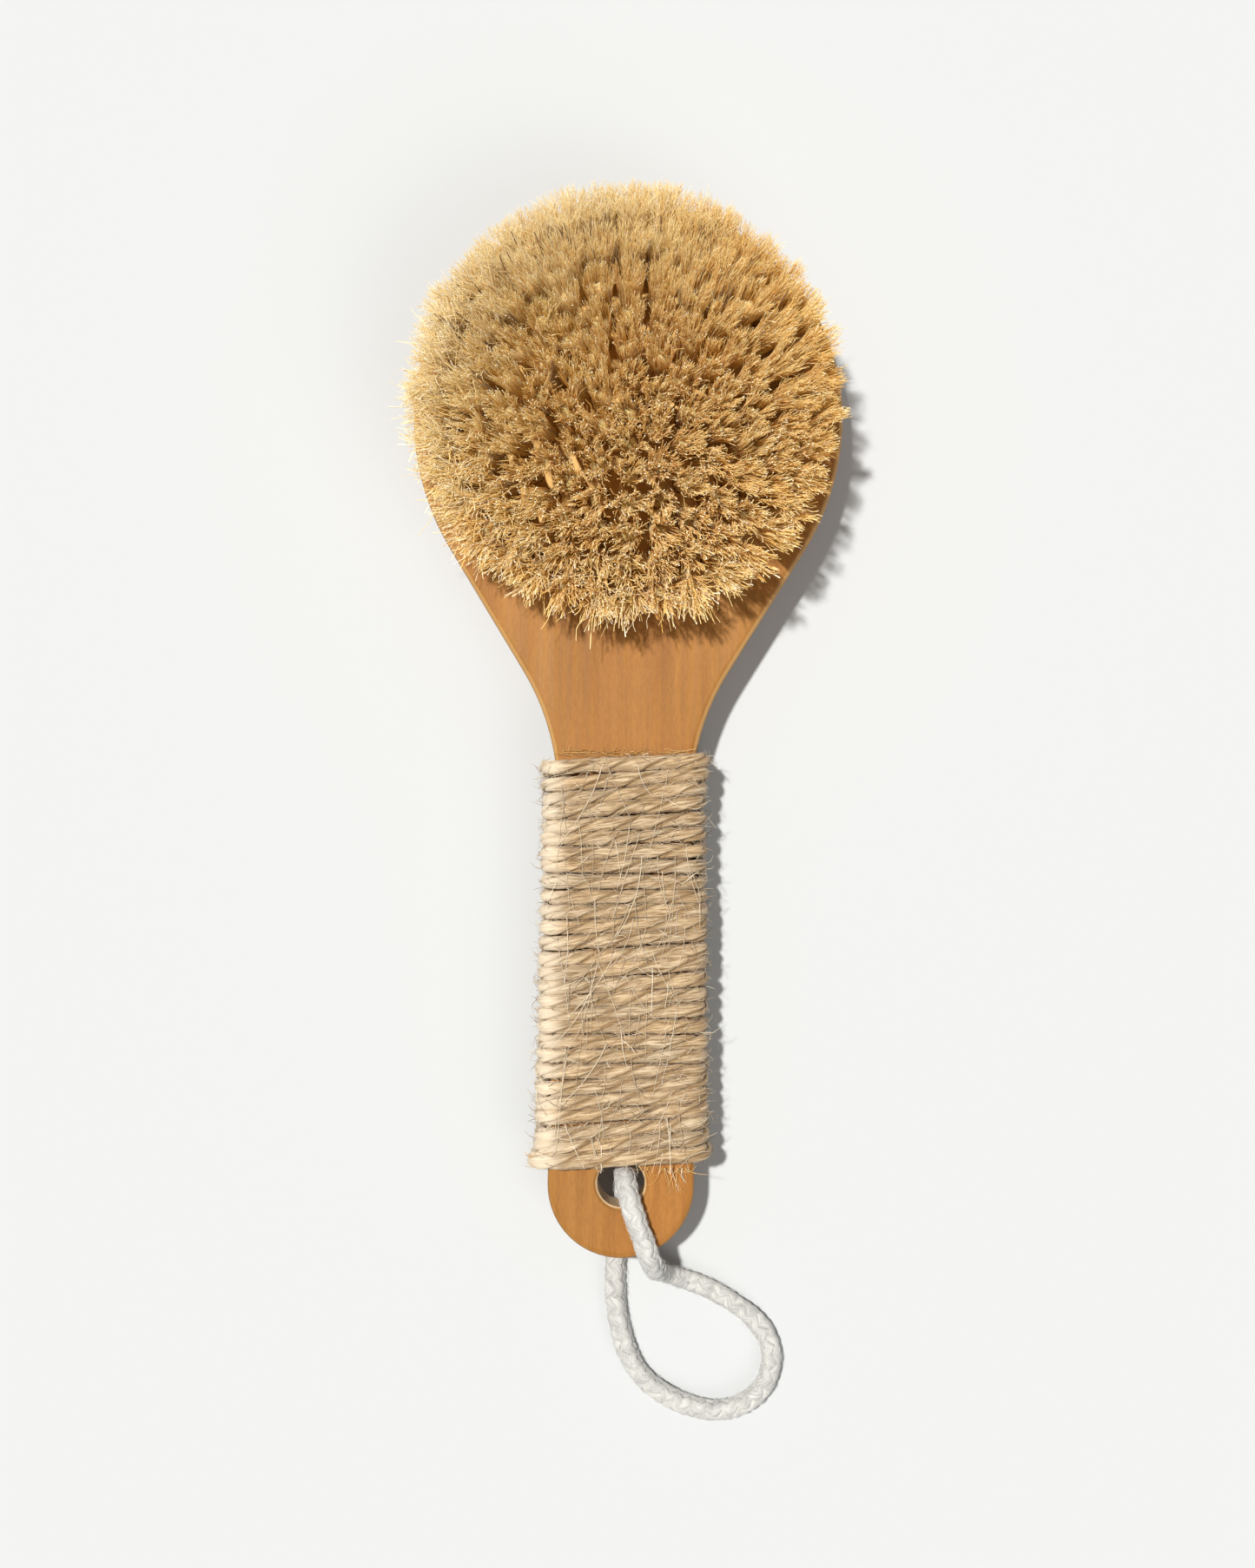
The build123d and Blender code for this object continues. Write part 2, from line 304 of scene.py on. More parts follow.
class Shader:
    """A material's node tree, with short ways to add to it."""

    def __init__(self, name):
        self.material = bpy.data.materials.new(name)
        self.material.use_nodes = True
        self.tree = self.material.node_tree
        self.skin = self.tree.nodes["Principled BSDF"]

    def add(self, kind, settings=(), **inputs):
        """A node, with its settings, and each input set to a value or joined to another node's output."""
        node = self.tree.nodes.new("ShaderNode" + kind)
        for key, value in dict(settings).items():
            setattr(node, key, value)
        for key, value in inputs.items():
            self.give(node, key.replace("_", " "), value)
        return node

    def give(self, node, key, value):
        """Sets one input, or joins an output to it."""
        socket = node.inputs[int(key[1:])] if key[0] == "i" and key[1:].isdigit() else node.inputs[key]
        if isinstance(value, bpy.types.NodeSocket):
            self.tree.links.new(value, socket)
        else:
            socket.default_value = value

    def surface(self, **inputs):
        """Sets the Principled shader's own inputs."""
        for key, value in inputs.items():
            self.give(self.skin, key.replace("_", " "), value)

    def gloss(self, specular, sheen=0.0, sheen_tint=(1.0, 1.0, 1.0)):
        """Sets how much the surface shines, and its soft sheen."""
        self.skin.inputs["Specular IOR Level"].default_value = specular
        self.skin.inputs["Sheen Weight"].default_value = sheen
        self.skin.inputs["Sheen Roughness"].default_value = 0.5
        self.skin.inputs["Sheen Tint"].default_value = (*sheen_tint, 1.0)

    def ramp(self, factor, stops):
        """A colour ramp with (place, colour) stops."""
        node = self.add("ValToRGB", Fac=factor)
        elements = node.color_ramp.elements
        while len(elements) < len(stops):
            elements.new(0.5)
        for element, (place, colour) in zip(elements, stops):
            element.position = place
            element.color = (*colour, 1.0)
        return node.outputs["Color"]

    def mix(self, factor, first, second, blend="MIX"):
        """Two colours mixed."""
        node = self.add("Mix", {"data_type": "RGBA", "blend_type": blend})
        for index, value in ((0, factor), (6, first), (7, second)):
            if isinstance(value, bpy.types.NodeSocket):
                self.tree.links.new(value, node.inputs[index])
            else:
                node.inputs[index].default_value = value if index == 0 else (*value, 1.0)
        return node.outputs[2]

    def maths(self, operation, first, second=0.0, third=0.0):
        """A sum on numbers."""
        node = self.add("Math", {"operation": operation}, i0=first, i1=second)
        if operation == "MULTIPLY_ADD":
            self.give(node, "i2", third)
        return node.outputs[0]

    def distance(self, x, y, centre):
        """How far (x, y) is from a centre."""
        across = self.maths("SUBTRACT", x, centre[0])
        along = self.maths("SUBTRACT", y, centre[1])
        square = self.maths("MULTIPLY", across, across)
        return self.maths("SQRT", self.maths("MULTIPLY_ADD", along, along, square))

    def map_range(self, value, low, high, to_low=0.0, to_high=1.0):
        """A number moved smoothly from one range to another."""
        node = self.add(
            "MapRange", {"interpolation_type": "SMOOTHSTEP"},
            Value=value, From_Min=low, From_Max=high, To_Min=to_low, To_Max=to_high,
        )
        return node.outputs[0]

    def noise(self, place, stretch, detail=3.0, roughness=0.5):
        """Noise over places stretched by (x, y, z)."""
        scaled = self.add("Mapping", Vector=place, Scale=stretch)
        node = self.add("TexNoise", Vector=scaled.outputs[0], Scale=1.0, Detail=detail, Roughness=roughness)
        return node.outputs["Fac"]

    def bump(self, height, distance, strength=1.0, under=None):
        """A bump from a height, on top of another bump if there is one."""
        node = self.add("Bump", Height=height, Distance=distance, Strength=strength)
        if under is not None:
            self.give(node, "Normal", under)
        return node.outputs["Normal"]


def wood_material():
    """Honey-coloured wood: faint grain along it; paler at its rounded edges, a painted highlight; brighter
    round the tufts, painted light in their shade; paler in the hole, partly bare end grain and partly
    painted light.
    """
    shader = Shader("waxed_wood")
    where = shader.add("TexCoord").outputs["Object"]
    split = shader.add("SeparateXYZ", Vector=where)
    facing = shader.add("SeparateXYZ", Vector=shader.add("TexCoord").outputs["Normal"])
    bands = shader.noise(where, (150, 9, 60), 3.0, 0.55)
    streaks = shader.noise(where, (900, 28, 500), 4.0, 0.6)
    specks = shader.noise(where, (2600, 700, 2600), 2.0, 0.5)
    broad = shader.noise(where, (26, 14, 26), 2.0, 0.5)
    base = shader.ramp(
        bands,
        [(0.30, (0.274, 0.111, 0.019)), (0.5, (0.322, 0.135, 0.025)), (0.68, (0.370, 0.165, 0.036))],
    )
    streak_tint = shader.ramp(streaks, [(0.34, (0.86, 0.84, 0.80)), (0.62, (1.06, 1.06, 1.05))])
    base = shader.mix(0.75, base, streak_tint, "MULTIPLY")
    speck_tint = shader.ramp(specks, [(0.38, (0.88, 0.86, 0.84)), (0.6, (1.05, 1.05, 1.05))])
    base = shader.mix(0.6, base, speck_tint, "MULTIPLY")
    broad_tint = shader.ramp(broad, [(0.36, (0.96, 0.99, 1.08)), (0.64, (1.03, 0.97, 0.86))])
    base = shader.mix(0.8, base, broad_tint, "MULTIPLY")
    # Paler rounded edges, stronger towards the head: a painted highlight
    up = shader.maths("ABSOLUTE", facing.outputs["Z"])
    painted_edge_highlight = shader.maths("MULTIPLY", shader.map_range(up, 0.12, 0.45), shader.map_range(up, 0.97, 0.80))
    share = shader.map_range(split.outputs["Y"], -60 * MM, -50 * MM, 0.12, 0.55)
    base = shader.mix(shader.maths("MULTIPLY", painted_edge_highlight, share), base, (0.60, 0.36, 0.14))
    # Brighter, more saturated wood round the tufts: painted light, lifting the shade between them
    low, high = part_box("tufts_centre")
    from_field = shader.distance(split.outputs["X"], split.outputs["Y"], (low + high) / 2)
    under = shader.map_range(from_field, 38 * MM, 30 * MM)
    base = shader.mix(shader.maths("MULTIPLY", under, 0.9), base, (0.74, 0.44, 0.13))
    # Paler wall in the hole: partly bare end grain, partly painted light lifting its shade
    from_hole = shader.distance(split.outputs["X"], split.outputs["Y"], HOLE_CENTRE)
    inside = shader.map_range(from_hole, HOLE_RADIUS + 0.5 * MM, HOLE_RADIUS + 0.1 * MM)
    end_grain_and_painted_light = shader.ramp(
        shader.noise(where, (300, 300, 60), 3.0, 0.6),
        [(0.35, (0.50, 0.32, 0.16)), (0.65, (0.76, 0.56, 0.33))],
    )
    base = shader.mix(inside, base, end_grain_and_painted_light)
    rough = shader.map_range(streaks, 0.3, 0.7, 0.50, 0.62)
    relief = shader.bump(streaks, 0.06 * MM, 0.5)
    relief = shader.bump(specks, 0.03 * MM, 0.5, relief)
    shader.surface(Base_Color=base, Roughness=rough, Normal=relief)
    shader.gloss(0.22)
    return shader.material


def strand_material(name, tints, lengthwise, roughness, specular, sheen=0.0, sheen_tint=(1.0, 1.0, 1.0)):
    """Strands coloured by their UV: tint across the map, root to tip up it."""
    shader = Shader(name)
    place = shader.add("UVMap", {"uv_map": "OFBake"})
    split = shader.add("SeparateXYZ", Vector=place.outputs["UV"])
    tint = shader.ramp(split.outputs["X"], tints)
    root_to_tip_tone = shader.ramp(split.outputs["Y"], lengthwise)
    colour = shader.mix(1.0, tint, root_to_tip_tone, "MULTIPLY")
    shader.surface(Base_Color=colour, Roughness=roughness)
    shader.gloss(specular, sheen, sheen_tint)
    return shader.material


def bristle_material():
    """Natural bristle: straw to cream, some nearly white, and a few dark brown ones."""
    tints = [
        (0.0, (0.84, 0.50, 0.12)),
        (0.35, (0.98, 0.71, 0.27)),
        (0.75, (1.0, 0.84, 0.44)),
        (0.88, (1.0, 0.85, 0.52)),
        (0.94, (1.0, 0.93, 0.74)),
        (0.955, (0.20, 0.10, 0.04)),
        (1.0, (0.13, 0.065, 0.03)),
    ]
    # Darker towards the root: painted shade deep in the tuft
    lengthwise = [
        (0.0, (0.88, 0.76, 0.56)),
        (0.45, (0.97, 0.90, 0.78)),
        (0.80, (1.0, 0.98, 0.94)),
        (1.0, (1.0, 1.0, 1.0)),
    ]
    return strand_material("natural_bristle", tints, lengthwise, 0.5, 0.06, 0.5, GOLDEN_SHEEN)


def bundle_material():
    """The dense inside of a tuft: bristles side by side. Browner near the wood and on its upward-facing
    hidden top, painted shade; paler towards the head's upper left, painted light.
    """
    shader = Shader("bristle_bundle")
    where = shader.add("TexCoord").outputs["Object"]
    split = shader.add("SeparateXYZ", Vector=where)
    facing = shader.add("SeparateXYZ", Vector=shader.add("TexCoord").outputs["Normal"])
    fine = shader.noise(where, (4200, 4200, 160), 3.0, 0.6)
    broad = shader.noise(where, (900, 900, 60), 2.0, 0.5)
    colour = shader.ramp(
        fine,
        [(0.32, (0.84, 0.54, 0.16)), (0.5, (0.96, 0.72, 0.30)), (0.66, (1.0, 0.85, 0.48))],
    )
    shade = shader.ramp(broad, [(0.35, (0.84, 0.80, 0.72)), (0.6, (1.0, 1.0, 1.0))])
    colour = shader.mix(0.7, colour, shade, "MULTIPLY")
    # Darker and browner low in the tuft, near the wood: painted shade
    height = shader.map_range(split.outputs["Z"], 16 * MM, 32 * MM)
    painted_depth_shade = shader.ramp(
        height, [(0.0, (0.84, 0.72, 0.54)), (0.7, (0.97, 0.95, 0.92)), (1.0, (1.0, 1.0, 1.0))]
    )
    colour = shader.mix(1.0, colour, painted_depth_shade, "MULTIPLY")
    # Paler towards the head's upper left: painted light, the glow of tufts lit through from behind
    upper_left = shader.maths("MULTIPLY_ADD", split.outputs["X"], -0.8, split.outputs["Y"])
    pale = shader.map_range(upper_left, 70 * MM, 135 * MM)
    colour = shader.mix(shader.maths("MULTIPLY", pale, 0.75), colour, (1.0, 0.90, 0.60))
    # Darker brown where the bundle faces up: painted shade of the tuft's inside under the loose ends
    inside = shader.map_range(facing.outputs["Z"], 0.10, 0.60)
    colour = shader.mix(shader.maths("MULTIPLY", inside, 0.85), colour, (0.54, 0.36, 0.14))
    relief = shader.bump(broad, 0.25 * MM, 0.7)
    relief = shader.bump(fine, 0.10 * MM, 0.8, relief)
    shader.surface(Base_Color=colour, Roughness=0.6, Normal=relief)
    shader.gloss(0.05, 0.5, GOLDEN_SHEEN)
    shader.skin.inputs["Subsurface Weight"].default_value = 1.0
    shader.skin.inputs["Subsurface Radius"].default_value = (1.0, 0.65, 0.32)
    shader.skin.inputs["Subsurface Scale"].default_value = 3.0 * MM
    return shader.material


def hair_material():
    """Loose jute fibres: pale straw, some golden."""
    tints = [
        (0.0, (0.27, 0.175, 0.09)),
        (0.5, (0.52, 0.40, 0.26)),
        (0.80, (0.76, 0.65, 0.48)),
        (0.86, (0.90, 0.82, 0.68)),
        (0.9, (0.56, 0.33, 0.10)),
        (1.0, (0.70, 0.44, 0.16)),
    ]
    return strand_material("jute_fibre", tints, [(0.0, (0.9, 0.88, 0.85)), (1.0, (1.0, 1.0, 1.0))], 0.5, 0.4)


def jute_material():
    """Plied jute: fibres nearly along the twine, darker where fibres part; darker where the plies meet,
    painted shade; paler on the winding's left side, painted light.
    """
    shader = Shader("jute_ply")
    split = shader.add("SeparateXYZ", Vector=shader.add("UVMap", {"uv_map": "Fibre"}).outputs["UV"])
    sheared = shader.maths("MULTIPLY_ADD", split.outputs["X"], FIBRE_SHEAR, split.outputs["Y"])
    place = shader.add("CombineXYZ", X=split.outputs["X"], Y=sheared).outputs["Vector"]
    fine = shader.noise(place, (0.22, 9.0, 1), 4.0, 0.65)
    coarse = shader.noise(place, (0.12, 2.4, 1), 3.0, 0.6)
    patch = shader.noise(place, (0.045, 0.4, 1), 2.0, 0.5)
    colour = shader.ramp(
        fine,
        [(0.34, (0.17, 0.10, 0.042)), (0.47, (0.41, 0.285, 0.158)), (0.60, (0.62, 0.485, 0.315))],
    )
    shade = shader.ramp(coarse, [(0.32, (0.62, 0.54, 0.45)), (0.55, (1.0, 1.0, 1.0))])
    colour = shader.mix(0.75, colour, shade, "MULTIPLY")
    warm = shader.ramp(patch, [(0.35, (0.92, 0.95, 1.0)), (0.65, (1.04, 0.97, 0.86))])
    colour = shader.mix(0.8, colour, warm, "MULTIPLY")
    # Darker where the plies meet: painted shade in the crease
    seam = shader.map_range(shader.maths("ABSOLUTE", split.outputs["Y"]), 0.32, 0.64)
    colour = shader.mix(shader.maths("MULTIPLY", seam, 0.62), colour, (0.22, 0.125, 0.042))
    # Paler on the left side of the winding: painted light from the left
    where = shader.add("SeparateXYZ", Vector=shader.add("TexCoord").outputs["Object"])
    painted_left_light = shader.map_range(where.outputs["X"], -11 * MM, -17 * MM)
    painted_left_light = shader.maths("MULTIPLY", painted_left_light, shader.map_range(where.outputs["Z"], 9 * MM, 15 * MM))
    colour = shader.mix(shader.maths("MULTIPLY", painted_left_light, 0.6), colour, (0.86, 0.74, 0.56))
    relief = shader.bump(coarse, 0.30 * MM, 1.0)
    relief = shader.bump(fine, 0.16 * MM, 1.0, relief)
    shader.surface(Base_Color=colour, Roughness=0.72, Normal=relief)
    shader.gloss(0.3, 0.15)
    return shader.material


def cotton_material():
    """Soft cotton: white strands with fine filaments along them, and faint grey patches at random, painted
    shade.
    """
    shader = Shader("braided_cotton")
    place = shader.add("UVMap", {"uv_map": "Fibre"}).outputs["UV"]
    fine = shader.noise(place, (0.35, 9.0, 1), 3.0, 0.6)
    soft = shader.noise(place, (0.12, 0.8, 1), 2.0, 0.5)
    colour = shader.ramp(fine, [(0.3, (0.41, 0.40, 0.375)), (0.6, (0.62, 0.61, 0.57))])
    # Faint grey patches at random: painted shade in the braid
    shade = shader.ramp(soft, [(0.36, (0.72, 0.72, 0.73)), (0.6, (1.0, 1.0, 0.99))])
    colour = shader.mix(0.9, colour, shade, "MULTIPLY")
    relief = shader.bump(soft, 0.25 * MM, 0.6)
    relief = shader.bump(fine, 0.09 * MM, 0.8, relief)
    shader.surface(Base_Color=colour, Roughness=0.85, Normal=relief)
    shader.gloss(0.2, 0.25)
    return shader.material


def cotton_fuzz_material():
    """Stray cotton filaments."""
    tints = [(0.0, (0.66, 0.655, 0.63)), (1.0, (0.80, 0.79, 0.76))]
    return strand_material("cotton_fuzz", tints, [(0.0, (0.95,) * 3), (1.0, (1.0,) * 3)], 0.7, 0.3)


def steel_material():
    """Drawn flat wire with faint lines along it."""
    shader = Shader("staple_wire")
    where = shader.add("TexCoord").outputs["Object"]
    lines = shader.noise(where, (600, 600, 6000), 2.0, 0.5)
    colour = shader.ramp(lines, [(0.3, (0.42, 0.41, 0.38)), (0.7, (0.62, 0.61, 0.58))])
    shader.surface(Base_Color=colour, Roughness=shader.map_range(lines, 0.3, 0.7, 0.3, 0.45), Metallic=1.0)
    return shader.material


def floor_material():
    """Plain matt pale grey, nearly white in this light."""
    shader = Shader("pale_floor")
    shader.surface(Base_Color=(*FLOOR_COLOUR, 1.0), Roughness=0.9)
    shader.gloss(0.0)
    return shader.material


# ---------------------------------------------------------------- camera, light and floor


def make_camera():
    """The camera looks straight down on the middle of the brush and its cord."""
    data = bpy.data.cameras.new("camera")
    data.lens = CAMERA_LENS
    data.clip_start = 0.01
    camera = bpy.data.objects.new("camera", data)
    camera.location = CAMERA_PLACE
    camera.rotation_euler = (0, 0, CAMERA_TURN)
    bpy.context.scene.collection.objects.link(camera)
    bpy.context.scene.camera = camera


def make_sun(name, tilt, bearing, strength, angle, colour):
    """A sun that stands tilt degrees off the vertical, in the direction of bearing from +X."""
    data = bpy.data.lights.new(name, "SUN")
    data.energy = strength
    data.angle = math.radians(angle)
    data.color = colour
    lamp = bpy.data.objects.new(name, data)
    lamp.rotation_euler = (0, math.radians(tilt), math.radians(bearing))
    bpy.context.scene.collection.objects.link(lamp)


def make_surround():
    """Soft even light from all round, which fills the shadows."""
    world = bpy.data.worlds.new("surround")
    world.use_nodes = True
    background = world.node_tree.nodes["Background"]
    background.inputs["Color"].default_value = (*SURROUND, 1.0)
    background.inputs["Strength"].default_value = SURROUND_STRENGTH
    bpy.context.scene.world = world
    bpy.context.scene.view_settings.view_transform = "Standard"


def make_floor():
    """A wide plain sheet under the brush."""
    half = FLOOR_SIZE / 2
    corners = [(-half, -half, 0), (half, -half, 0), (half, half, 0), (-half, half, 0)]
    floor = new_piece("floor", corners, [(0, 1, 2, 3)], {}, floor_material(), smooth=False)


# ---------------------------------------------------------------- cord


def strip_uv(along, sides):
    """UVs in millimetres for a strand: along it, and from its outer middle (0) round to its inner (1)."""
    corners = np.arange(sides + 1)
    around = 1 - np.abs(1 - 2 * corners / sides)
    around = np.where(corners <= sides / 2, around, -around)
    before = around[:-1].copy()
    before[sides // 2] *= -1  # beyond the seam on the inside
    first = np.tile(before, len(along) - 1)
    second = np.tile(around[1:], len(along) - 1)
    low = np.repeat(along[:-1], sides) / MM
    high = np.repeat(along[1:], sides) / MM
    lengthwise = np.stack([low, low, high, high], -1)
    return np.stack([lengthwise, np.stack([first, second, second, first], -1)], -1).reshape(-1, 2)


def wound_piece(name, coils, along, sides, material):
    """One mesh of strands wound about a line. coils has each one's rings, and where its UVs start in mm."""
    vertices, faces = joined_tubes([rings for rings, _ in coils], sides)
    pairs = [strip_uv(along + offset * MM, sides) for _, offset in coils]
    cap_pairs = [(offset, 0.0) for _, offset in coils for _ in range(2 * sides)]
    uv_sets = {"Fibre": np.concatenate([*pairs, cap_pairs])}
    return new_piece(name, vertices, faces, uv_sets, material)


def make_cord():
    """A round braid of eight flat strands along the cord's route."""
    route = [tuple(value * MM for value in point) for point in CORD_ROUTE_MM]
    spine = spline_points(route)
    line, along = resampled(spine, CORD_STEP)
    frames = carried_frames(line, (1, 0, 0))
    rng = np.random.default_rng(41)
    sides = 10
    coils = []
    loose = 1 + 0.05 * np.interp(along, np.linspace(0, along[-1], 40), rng.normal(0, 1, 40))
    apart = TAU / BRAID_STRANDS_EACH_WAY
    phases = [(1, index * apart, 1) for index in range(BRAID_STRANDS_EACH_WAY)]
    phases += [(-1, (index + 0.5) * apart, -1) for index in range(BRAID_STRANDS_EACH_WAY)]
    ripple = BRAID_STRANDS_EACH_WAY * TAU * along / BRAID_PITCH
    for way, start, lift in phases:
        turn = way * TAU * along / BRAID_PITCH + start
        rise = lift * BRAID_WEAVE * np.cos(ripple)
        lumps = 1 + 0.10 * np.interp(along, np.linspace(0, along[-1], 70), rng.normal(0, 1, 70))
        rings = wound_rings(
            line, frames, turn, (BRAID_RADIUS + rise) * loose, BRAID_HALF_THICK * lumps,
            BRAID_HALF_WIDE * lumps, sides,
        )
        rings[..., 2] = np.maximum(rings[..., 2], ABOVE_FLOOR)
        coils.append((rings, rng.uniform(0, 500)))
    cord = wound_piece("braided_cord", coils, along, sides, cotton_material())
    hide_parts("hang_cord")
    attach(cord, "loop")
    make_cord_fuzz(line, frames)


def make_cord_fuzz(line, frames):
    """Fine filaments that stand a little off the cord."""
    rng = np.random.default_rng(42)
    count = CORD_FILAMENTS
    spot = rng.integers(2, len(line) - 2, count)
    turn = rng.uniform(0, TAU, count)
    tangents, normals, binormals = frames
    out = np.cos(turn)[:, None] * normals[spot] + np.sin(turn)[:, None] * binormals[spot]
    side = unit(np.cross(tangents[spot], out))
    heading = unit(
        tangents[spot] * rng.normal(0, 1, (count, 1)) + side * rng.normal(0, 0.7, (count, 1))
    )
    length = rng.uniform(0.8, 2.2, count)[:, None] * MM
    root = line[spot] + out * 2.15 * MM
    middle = root + heading * length * 0.5 + out * 0.28 * MM
    tip = root + heading * length + out * rng.uniform(-0.1, 0.45, count)[:, None] * MM
    paths = np.stack([root, (root + middle) / 2 + out * 0.08 * MM, middle, tip], axis=1)
    paths[..., 2] = np.maximum(paths[..., 2], 0.1 * MM)
    radii = np.broadcast_to(np.array([0.028, 0.028, 0.024, 0.012]) * MM, (count, 4))
    tints = rng.uniform(0.02, 0.98, count)
    fuzz = strands("cord_fuzz", cotton_fuzz_material(), paths, radii, tints, rng)
    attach(fuzz, "loop")


# ---------------------------------------------------------------- twine


def winding_path():
    """The middle of the wound twine, from the sides, front and back of its CAD node."""
    low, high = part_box("handle_twine")
    cad = np.array([vertex.co[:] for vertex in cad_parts["handle_twine"].data.vertices])
    front = high.z - TWINE_RADIUS
    back = low.z + TWINE_RADIUS
    pitch = (high.y - low.y - 2 * TWINE_RADIUS) / TWINE_TURNS
    top = high.y - TWINE_RADIUS - pitch / 4
    rng = np.random.default_rng(7)

    def half_width(y):
        """How far out the twine's middle runs at a place along the grip."""
        near = cad[np.abs(cad[:, 1] - y) < pitch]
        return np.abs(near[:, 0]).max() - TWINE_RADIUS

    corners = [(0.0, top + pitch / 4, back)]
    wander = rng.normal(0, 0.06, (TWINE_TURNS, 2)) * pitch
    slope = 0.22 * pitch * np.sin(np.arange(TWINE_TURNS) * 0.55 + 0.4)
    for turn in range(TWINE_TURNS):
        y = top - turn * pitch
        right = y + slope[turn] + wander[turn, 0]
        left = y - pitch / 2 - slope[turn] + wander[turn, 1]
        upper = half_width(y) + rng.uniform(-0.05, 0.18) * MM
        lower = half_width(y - pitch / 2) + rng.uniform(-0.05, 0.22) * MM
        if turn == TWINE_TURNS - 1:
            upper = upper + 0.5 * MM
            lower = lower + 1.0 * MM
        corners.append((upper, right, back))
        corners.append((upper, right, front))
        corners.append((-lower, left, front))
        corners.append((-lower, left, back))
    corners.append((-7 * MM, corners[-1][1] - pitch / 4, back))
    return rounded(np.array(corners), TWINE_CORNER)


def rounded(corners, radius):
    """A line through the corners with each one rounded off by a short arc-like curve."""
    steps = np.linspace(0, 1, 9)[:, None]
    points = [corners[0]]
    for before, here, after in zip(corners, corners[1:], corners[2:]):
        into = here + (before - here) / np.linalg.norm(before - here) * radius
        out = here + (after - here) / np.linalg.norm(after - here) * radius
        bend = 0.62
        first = into + (here - into) * bend
        second = out + (here - out) * bend
        points.extend(
            (1 - steps) ** 3 * into
            + 3 * (1 - steps) ** 2 * steps * first
            + 3 * (1 - steps) * steps**2 * second
            + steps**3 * out
        )
    points.append(corners[-1])
    return np.array(points)


def make_twine():
    """Two flattened plies twisted about the winding's path, with their loose fibres."""
    line, along = resampled(winding_path(), TWINE_STEP)
    frames = carried_frames(line, (0, 1, 0))
    rng = np.random.default_rng(8)
    sides = 12
    # The last turn is thicker
    thicker = 1 + 0.16 * np.clip((along - along[-1] + 88 * MM) / (6 * MM), 0, 1)
    twist = TAU * along / PLY_PITCH + 0.8 * np.interp(
        along, np.linspace(0, along[-1], 60), rng.normal(0, 1, 60)
    )
    coils = []
    for ply in range(2):
        lumps = 1 + 0.13 * np.interp(along, np.linspace(0, along[-1], 760), rng.normal(0, 1, 760))
        rings = wound_rings(
            line, frames, -twist + ply * TAU / 2, PLY_OFFSET * thicker, PLY_HALF_THICK * lumps * thicker,
            PLY_HALF_WIDE * lumps * thicker, sides,
        )
        fibres = np.repeat(np.interp(along, np.linspace(0, along[-1], 900), rng.normal(0, 1, 900)), sides)
        ridge = rng.normal(0, 0.05, rings.shape[:2]) * MM + 0.03 * MM * fibres.reshape(rings.shape[:2])
        centre = rings.mean(axis=1, keepdims=True)
        rings = rings + unit(rings - centre) * ridge[..., None]
        coils.append((rings, ply * 3000))
    winding = wound_piece("twine_winding", coils, along, sides, jute_material())
    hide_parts("handle_twine")
    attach(winding, "brush")
    hairs = hair_material()
    make_short_hairs(line, frames, hairs)
    make_long_hairs(line, hairs)


def make_short_hairs(line, frames, material):
    """Short fibres all round the winding, lying close to it in every direction but mostly along it."""
    rng = np.random.default_rng(9)
    count = SHORT_HAIRS
    spot = rng.integers(5, len(line) - 5, count)
    tangents, normals, binormals = frames
    turn = rng.uniform(0, TAU, count)
    out = np.cos(turn)[:, None] * normals[spot] + np.sin(turn)[:, None] * binormals[spot]
    side = unit(np.cross(tangents[spot], out))
    heading = unit(
        tangents[spot] * rng.choice([-1, 1], (count, 1)) + side * rng.normal(0, 0.75, (count, 1))
    )
    length = rng.uniform(1.2, 5.0, count)[:, None] * MM
    lift = np.abs(rng.normal(0, 0.35, count))[:, None] * MM
    root = line[spot] + out * 1.36 * MM
    shares = np.array([0, 0.3, 0.65, 1.0])
    paths = np.stack(
        [root + heading * length * share + out * lift * math.sin(share * 2.4) for share in shares], axis=1
    )
    paths += rng.normal(0, 0.15, paths.shape) * MM * (shares > 0)[None, :, None]
    paths[..., 2] = np.maximum(paths[..., 2], 0.15 * MM)
    radii = rng.uniform(0.035, 0.085, count)[:, None] * np.array([1.0, 1.0, 0.85, 0.4])[None] * MM
    tints = rng.beta(1.2, 1.2, count) * 0.86
    hairs = strands("twine_short_hairs", material, paths, radii, tints, rng)
    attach(hairs, "brush")


def flat_hairs(rng, start, bearing, length, curl, knots):
    """Plan views of loose hairs: where each starts, which way it sets off, and how much it turns."""
    shares = np.linspace(0, 1, knots)
    heading = bearing[:, None] + curl[:, None] * shares[None, :]
    step = np.stack([np.cos(heading), np.sin(heading)], -1) * (length / (knots - 1))[:, None, None]
    flat = start[:, None, :] + np.cumsum(step, axis=1) - step[:, :1]
    return flat + rng.normal(0, 0.06, flat.shape) * MM


